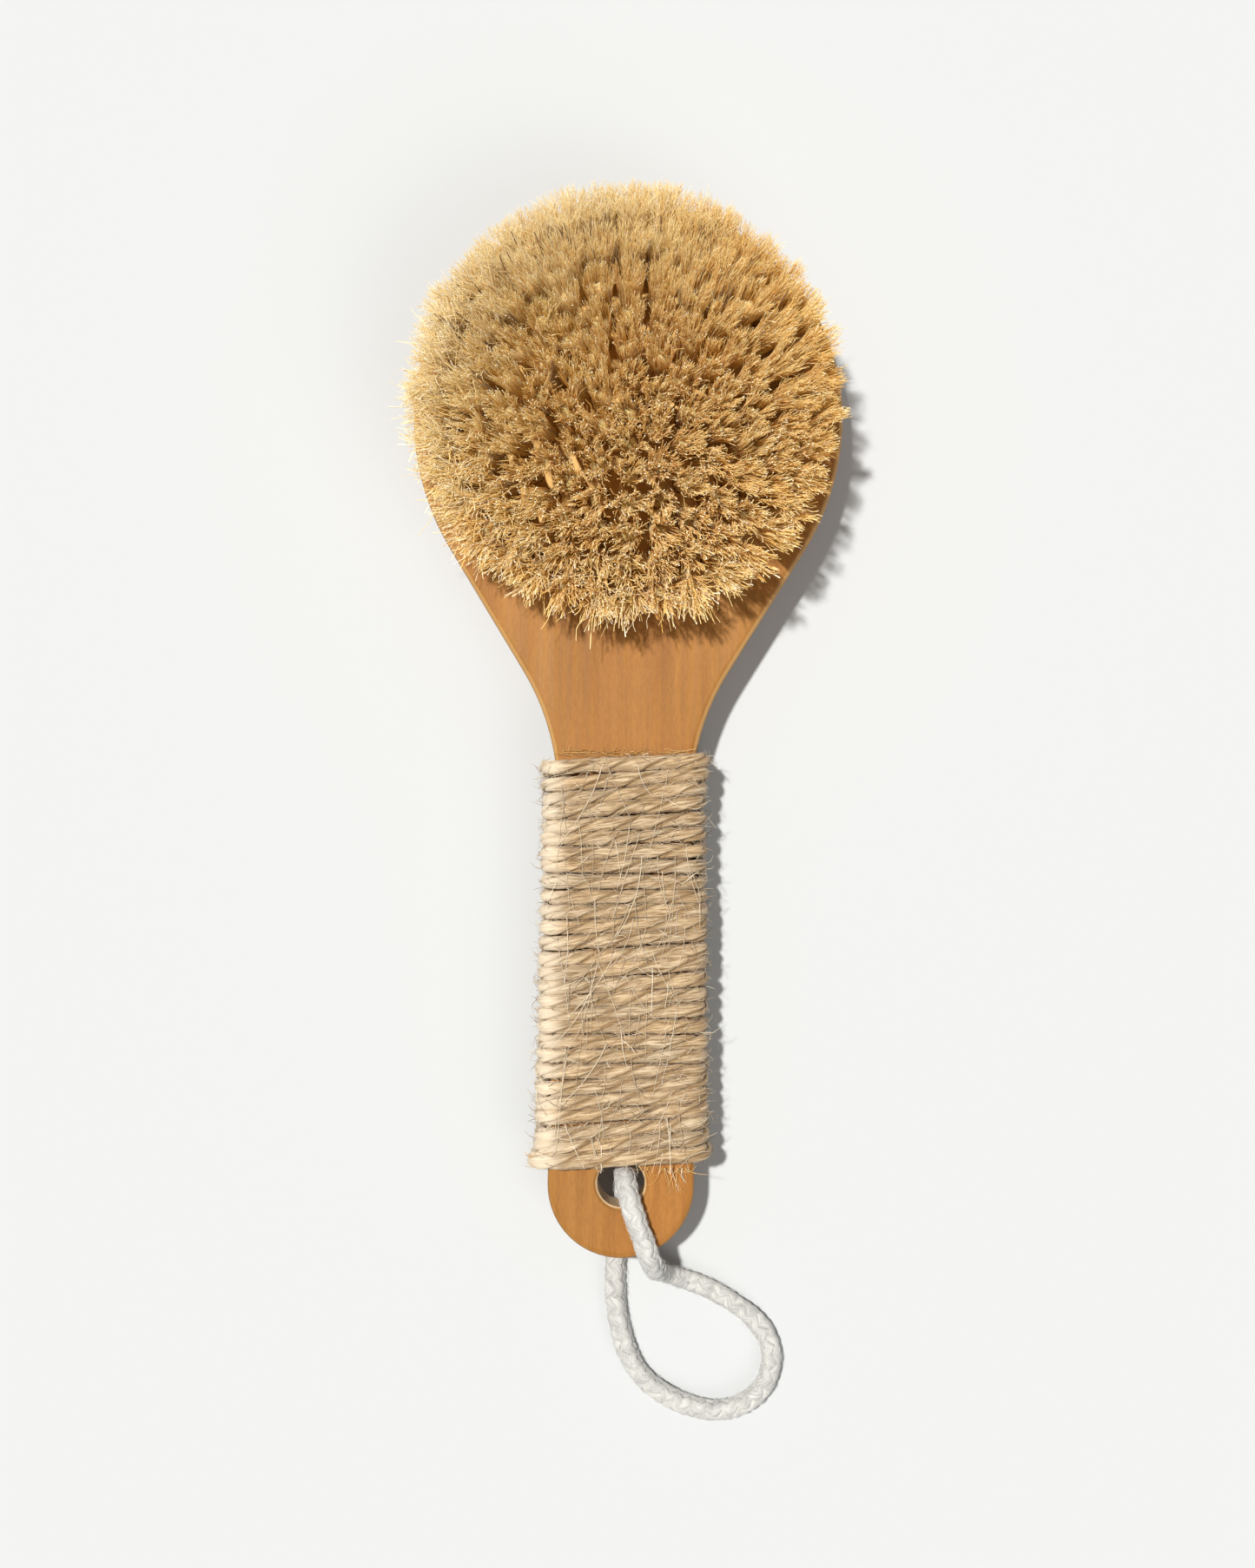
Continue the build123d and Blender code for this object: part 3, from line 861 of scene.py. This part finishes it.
def make_long_hairs(line, material):
    """Long pale fibres across the turns, front and back, and golden ones at the winding's two ends."""
    low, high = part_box("handle_twine")
    _, wood_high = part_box("wood_body")
    rng = np.random.default_rng(10)
    knots = 8
    shares = np.linspace(0, 1, knots)
    count = LONG_HAIRS
    on_front = rng.uniform(0, 1, count) < 0.8
    length = rng.uniform(5, 22, count) * MM
    start_y = rng.uniform(low.y + 4 * MM, high.y - 1 * MM, count)
    length = np.minimum(length, start_y - low.y)
    start = np.stack([rng.uniform(-14.5, 14.5, count) * MM, start_y], axis=1)
    flat = flat_hairs(
        rng, start, -math.pi / 2 + rng.normal(0, 0.22, count), length, rng.normal(0, 0.35, count), knots
    )
    flat[..., 0] = np.clip(flat[..., 0], -16.6 * MM, 16.6 * MM)
    height = 0.05 * MM + np.abs(rng.normal(0, 0.14, (count, knots))) * MM
    height = height + np.sin(shares * math.pi)[None, :] * rng.uniform(0, 0.4, count)[:, None] * MM
    z = np.where(on_front[:, None], high.z + height, low.z - height)
    paths = [np.concatenate([flat, z[..., None]], axis=-1)]
    radii = [rng.uniform(0.055, 0.10, count)[:, None] * np.linspace(1.0, 0.6, knots)[None] * MM]
    tints = [rng.uniform(0.55, 0.86, count)]

    # Along the first turn, on the wood: a thin golden fringe
    count = FIRST_TURN_HAIRS
    along_edge = rng.uniform(0, 1, count) < 0.85
    bearing = np.where(along_edge, rng.choice([0.0, math.pi], count), math.pi / 2)
    start = np.stack(
        [rng.uniform(-14, 14, count) * MM, high.y + rng.uniform(-1.3, -0.1, count) * MM], axis=1
    )
    length = np.where(along_edge, rng.uniform(2, 6, count), rng.uniform(0.8, 2.0, count)) * MM
    flat = flat_hairs(
        rng, start, bearing + rng.normal(0, 0.09, count), length, rng.normal(0, 0.25, count), knots
    )
    flat[..., 0] = np.clip(flat[..., 0], -15.5 * MM, 15.5 * MM)
    z = wood_high.z + rng.uniform(0.1, 1.0, (count, 1)) * MM + rng.normal(0, 0.08, (count, knots)) * MM
    paths.append(np.concatenate([flat, np.maximum(z, wood_high.z + 0.06 * MM)[..., None]], axis=-1))
    radii.append(np.full((count, knots), 0.05 * MM))
    tints.append(rng.uniform(0.90, 0.99, count))

    # Below the last turn: frayed ends, most of them at the right, and a curled tuft at the left
    count = LAST_TURN_HAIRS
    at_left = rng.uniform(0, 1, count) < 0.5
    across = np.where(at_left, rng.uniform(-19.0, -16.8, count), rng.triangular(2, 13, 16.5, count))
    start = np.stack(
        [across * MM, low.y + np.where(at_left, rng.uniform(0.6, 3.4, count), 1.0) * MM], axis=1
    )
    bearing = np.where(at_left, rng.uniform(2.4, 4.4, count), -math.pi / 2 + rng.normal(0, 0.5, count))
    length = np.where(at_left, rng.uniform(1.2, 3.0, count), rng.uniform(2.0, 7.5, count)) * MM
    flat = flat_hairs(rng, start, bearing, length, rng.normal(0, 1.3, count), knots)
    top = np.where(at_left, rng.uniform(12.5, 17.5, count), 17.4)[:, None] * MM
    bottom = np.where(at_left, 0.0, 1.1)[:, None] * MM * shares[None, :]
    z = top - bottom + rng.normal(0, 0.08, (count, knots)) * MM
    paths.append(np.concatenate([flat, z[..., None]], axis=-1))
    radii.append(rng.uniform(0.05, 0.085, count)[:, None] * np.linspace(1.0, 0.6, knots)[None] * MM)
    tints.append(np.where(rng.uniform(0, 1, count) < 0.8, GOLDEN_JUTE, 0.80))

    paths, radii, tints = (np.concatenate(part) for part in (paths, radii, tints))
    hairs = strands("twine_long_hairs", material, paths, radii, tints, rng)
    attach(hairs, "brush")


# ---------------------------------------------------------------- bristles


def tuft_places(ring):
    """Each tuft of a ring: where it leaves the wood, its three axes with the last along it, and its tilt.

    The tilt is how far its tips have settled to one side, along the first two axes.
    """
    rng = np.random.default_rng(300 + ring)
    low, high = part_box("tufts_centre")
    middle = (low + high) / 2
    face = high.z - BRISTLE_LENGTH
    count = max(1, 6 * ring)
    lean = OUTER_LEAN * ring / RING_COUNT
    places = []
    for number in range(count):
        turn = TAU * (number + 0.5 * (ring % 2)) / count
        outward = np.array([math.cos(turn), math.sin(turn), 0.0])
        sideways = np.array([-math.sin(turn), math.cos(turn), 0.0])
        upward = np.array([0.0, 0.0, 1.0])
        root = np.array([middle.x, middle.y, face]) + outward * ring * RING_PITCH
        along = upward * math.cos(lean) + outward * math.sin(lean)
        across = outward * math.cos(lean) - upward * math.sin(lean)
        places.append((root, across, sideways, along, rng.normal(0, 0.55, 2) * MM))
    return places


def tuft_character(place, ring):
    """Four marks from 0 to 1 for one tuft: how full and even, how frayed, how fanned out, and how pale. The
    last is painted light: tufts towards the head's upper left are paler, standing in for their glow when lit
    through.

    The outer tufts round the top of the head are dense and fan outwards, and those near the grip are frayed.
    """
    low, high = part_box("tufts_centre")
    middle = (low + high) / 2
    span = RING_COUNT * RING_PITCH
    right = (place[0][0] - middle.x) / span
    up = (place[0][1] - middle.y) / span
    away = math.hypot(right, up)
    solid = np.clip(0.34 + 0.70 * up - 0.05 * right * away, 0, 1)
    outer = max(0.0, (ring - RING_COUNT + 2) / 2)
    frayed = outer * np.clip(0.20 - 0.9 * up - 0.7 * right, 0, 1)
    fan = outer * np.clip(0.45 + 0.7 * up - 0.45 * right, 0, 1)
    # Paler towards the upper left: painted light
    pale = np.clip((0.85 * up - 0.85 * right) * away**2, 0, 1)
    return float(solid), float(frayed), float(fan), float(pale)


def bundle_profile(solid):
    """Heights, as shares of the bristle's height, and radii of the dense inside of a tuft."""
    return tuple(low + (high - low) * solid for low, high in zip(LOW_BUNDLE, HIGH_BUNDLE))


def bent(shares, fan, tilt):
    """How far a tuft is bent along its first two axes, at shares of its height."""
    rise = np.clip((shares - 0.15) / 0.85, 0, 1) ** 1.6
    return rise[..., None] * (np.array([fan * TUFT_FAN, 0.0]) + tilt)


def tuft_bundle(place, ring, rng):
    """The dense inside of one tuft: a flared, fluted form under the loose ends."""
    root, across, sideways, along, tilt = place
    solid, _, fan, _ = tuft_character(place, ring)
    shares, radii = bundle_profile(solid)
    turn = np.arange(BUNDLE_SIDES) * TAU / BUNDLE_SIDES
    flutes = 1 + rng.normal(0, 0.05, BUNDLE_SIDES) + rng.normal(0, 0.02, (len(shares), BUNDLE_SIDES))
    reach = radii[:, None] * flutes
    uneven = rng.normal(0, 0.3, reach.shape) * MM
    height = (BRISTLE_LENGTH * shares)[:, None] + uneven * (np.arange(len(shares)) > 5)[:, None]
    bend = bent(shares, fan, tilt)
    widened = 1 + 0.5 * fan * shares[:, None]
    return (
        root
        + (reach * np.cos(turn) + bend[:, :1])[..., None] * across
        + (reach * np.sin(turn) * widened + bend[:, 1:])[..., None] * sideways
        + height[..., None] * along
    )


def tuft_bristles(place, ring, rng):
    """One tuft's loose bristles: paths, radii and tints. Some lie along its sides, the rest end its top."""
    root, across, sideways, along, tilt = place
    solid, frayed, fan, pale = tuft_character(place, ring)
    bundle_top = bundle_profile(solid)[0][-1]
    count = int((FEWEST_BRISTLES + (MOST_BRISTLES - FEWEST_BRISTLES) * solid) * (1 + 0.25 * fan))
    lock_turn = rng.uniform(0, TAU, LOCKS)
    lock_fill = np.sqrt(rng.uniform(0.02, 1, LOCKS))
    lock_out = np.stack([np.cos(lock_turn), np.sin(lock_turn)], -1)
    lock_splay = lock_out * (lock_fill * rng.uniform(0.4, 2.8, LOCKS))[:, None]
    lock_splay = lock_splay + rng.normal(0, 0.6, (LOCKS, 2))
    lock = rng.integers(0, LOCKS, count)
    outer = rng.uniform(0, 1, count) < 0.42
    turn = np.where(outer, rng.uniform(0, TAU, count), lock_turn[lock] + rng.normal(0, 0.25, count))
    fill = np.clip(lock_fill[lock] + rng.normal(0, 0.12, count), 0.02, 0.97)
    fill = np.where(outer, rng.uniform(0.98, 1.06, count), fill)
    outward = np.stack([np.cos(turn), np.sin(turn)], -1)
    stray = rng.uniform(0, 1, count) < 0.08 + 0.3 * frayed
    calm = 0.94 - 0.54 * solid
    side_splay = outward * rng.uniform(0.0, 1.5, count)[:, None] + rng.normal(0, 0.40, (count, 2))
    splay = np.where(outer[:, None], side_splay, lock_splay[lock] + rng.normal(0, 0.4, (count, 2))) * calm
    splay = splay + rng.normal(0, 1, (count, 2)) * (stray * (1.2 + 0.6 * frayed))[:, None]
    splay[:, 1] += rng.normal(0, 0.9, count) * fan
    splay = splay * (1 + 0.4 * frayed) * MM
    first = bundle_top - 0.16
    shares = np.where(
        outer[:, None],
        0.02 + 0.98 * np.array([0.0, 0.30, 0.54, 0.74, 0.88, 1.0])[None],
        first + (1 - first) * np.array([0.0, 0.22, 0.44, 0.65, 0.84, 1.0])[None],
    )
    tall = BRISTLE_LENGTH * (1 + rng.normal(0, 0.03, count))
    tall = tall - 0.5 * np.linalg.norm(splay, axis=1) - stray * rng.uniform(0, 1.5, count) * MM
    tall = np.minimum(tall, BRISTLE_LENGTH + 0.9 * MM) * (1 - 0.05 * outer)
    bend_from = 0.46 + 0.2 * solid
    flare = np.clip(shares / bend_from, 0, 1.15)
    body = (TUFT_ROOT_RADIUS + (0.4 + 0.6 * solid) * flare * MM) * fill[:, None]
    rise = np.clip((shares - bend_from) / (1 - bend_from), 0, 1)
    flat = outward[:, None] * body[..., None] + splay[:, None] * rise[..., None] ** 1.4
    kinks = np.array([0.06, 0.06, 0.08, 0.10, 0.16, 0.26]) * (1 - 0.5 * solid)
    flat = flat + rng.normal(0, 1, flat.shape) * kinks[None, :, None] * MM
    flat[..., 1] *= 1 + 0.5 * fan * shares
    flat = flat + bent(shares, fan, tilt)
    up = tall[:, None] * shares
    paths = root + flat[..., :1] * across + flat[..., 1:] * sideways + up[..., None] * along
    thick = rng.uniform(0.066, 0.118, count) * (1 - 0.40 * solid)
    bead = rng.uniform(0, 1, count) < 0.16 * (1 - solid)
    taper = np.stack([np.ones(count)] * 4 + [0.85 * np.ones(count), np.where(bead, 1.5, 0.65)], -1)
    radii = thick[:, None] * taper * MM
    shade = rng.uniform(0, 0.22)
    # Paler tints and more pale golden bristles towards the upper left: painted light
    tints = rng.beta(1.7, 1.9, count) * (0.62 - 0.35 * pale) + 0.01 + shade + 0.35 * pale
    # Side bristles darker and the locks on top paler: painted shade on each tuft's sides and painted light
    # on its top
    tints = np.clip(tints + np.where(outer, -0.12, 0.10) * (1 - pale), 0.01, 0.87)
    tints = np.where(rng.uniform(0, 1, count) < 0.06 + 0.6 * pale - 0.03 * outer, GOLDEN_PALE, tints)
    tints = np.where(rng.uniform(0, 1, count) < 0.2 * frayed, CREAM, tints)
    tints = np.repeat(tints[:, None], paths.shape[1], axis=1)
    # Pale cream swollen tips: split ends, and partly a painted glint
    tints[:, -1] = np.where(bead, CREAM_BEAD, tints[:, -1])
    return paths, radii, tints


def make_dark_bristles(material):
    """The few long dark bristles, most of them among the tufts at the head's top and left."""
    rng = np.random.default_rng(200)
    knots = 15
    shares = np.linspace(0.3, 1.0, knots)
    paths, tints = [], []
    for ring in range(2, RING_COUNT + 1):
        for place in tuft_places(ring):
            root, across, sideways, along, tilt = place
            solid, _, fan, pale = tuft_character(place, ring)
            for _ in range(rng.poisson(0.2 + 1.1 * solid + 1.2 * pale)):
                turn = math.pi + rng.normal(0, 0.9)
                outward = math.cos(turn) * across + math.sin(turn) * sideways
                splay = rng.uniform(-0.2, 1.6) * MM
                reach = 3.5 * MM + splay * np.clip((shares - 0.35) / 0.65, 0, 1) ** 1.3
                bow = rng.normal(0, 0.5) * MM * np.sin(shares * math.pi)
                up = BRISTLE_LENGTH * rng.uniform(0.8, 1.02) * shares
                line = root + reach[:, None] * outward + up[:, None] * along
                bend = bent(shares, fan, tilt)
                paths.append(line + bend[:, :1] * across + (bend[:, 1:] + bow[:, None]) * sideways)
                tints.append(np.full(knots, DARK_BROWN))
    tints = np.array(tints)
    tints[7::23, ::2] = 0.90  # a few are banded, pale and dark
    radii = np.broadcast_to(np.linspace(0.20, 0.13, knots) * MM, tints.shape)
    bristles = strands("dark_bristles", material, np.array(paths), radii, tints, rng, sides=4)
    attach(bristles, "brush")


def make_bristles():
    """For each ring of tufts, in place of the ring's plain CAD tufts: one piece of bundles and one or more
    of loose bristles.
    """
    loose = bristle_material()
    dense = bundle_material()
    make_dark_bristles(loose)
    names = ["centre"] + [f"ring_{ring}" for ring in range(1, RING_COUNT + 1)]
    for ring, name in enumerate(names):
        rng = np.random.default_rng(100 + ring)
        places = tuft_places(ring)
        bodies = [tuft_bundle(place, ring, rng) for place in places]
        bundles = new_piece(f"bundles_{name}", *joined_tubes(bodies, BUNDLE_SIDES), {}, dense)
        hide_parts(f"tufts_{name}")
        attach(bundles, "brush")
        grown = [tuft_bristles(place, ring, rng) for place in places]
        batches = math.ceil(len(grown) / MOST_TUFTS_A_PIECE)
        for batch in range(batches):
            paths, radii, tints = (np.concatenate(part) for part in zip(*grown[batch::batches]))
            bristles = strands(f"bristles_{name}_{batch + 1}", loose, paths, radii, tints, rng)
            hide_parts(f"tufts_{name}")
            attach(bristles, "brush")


# ---------------------------------------------------------------- CAD nodes that keep their shape


def finish_cad_nodes():
    """Gives the wood and the staples their materials. The other nodes are replaced."""
    wood = wood_material()
    steel = steel_material()
    for name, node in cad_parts.items():
        material = wood if name == "wood_body" else steel if name.startswith("staples") else None
        if material is None:
            continue
        for material_slot in node.material_slots:
            material_slot.material = material


make_camera()
make_cord()
make_sun("key", KEY_TILT, KEY_BEARING, KEY_STRENGTH, KEY_ANGLE, (1.0, 0.99, 0.97))
make_sun("side", SIDE_TILT, SIDE_BEARING, SIDE_STRENGTH, SIDE_ANGLE, (1.0, 0.985, 0.96))
make_surround()
make_floor()
make_twine()
make_bristles()
finish_cad_nodes()
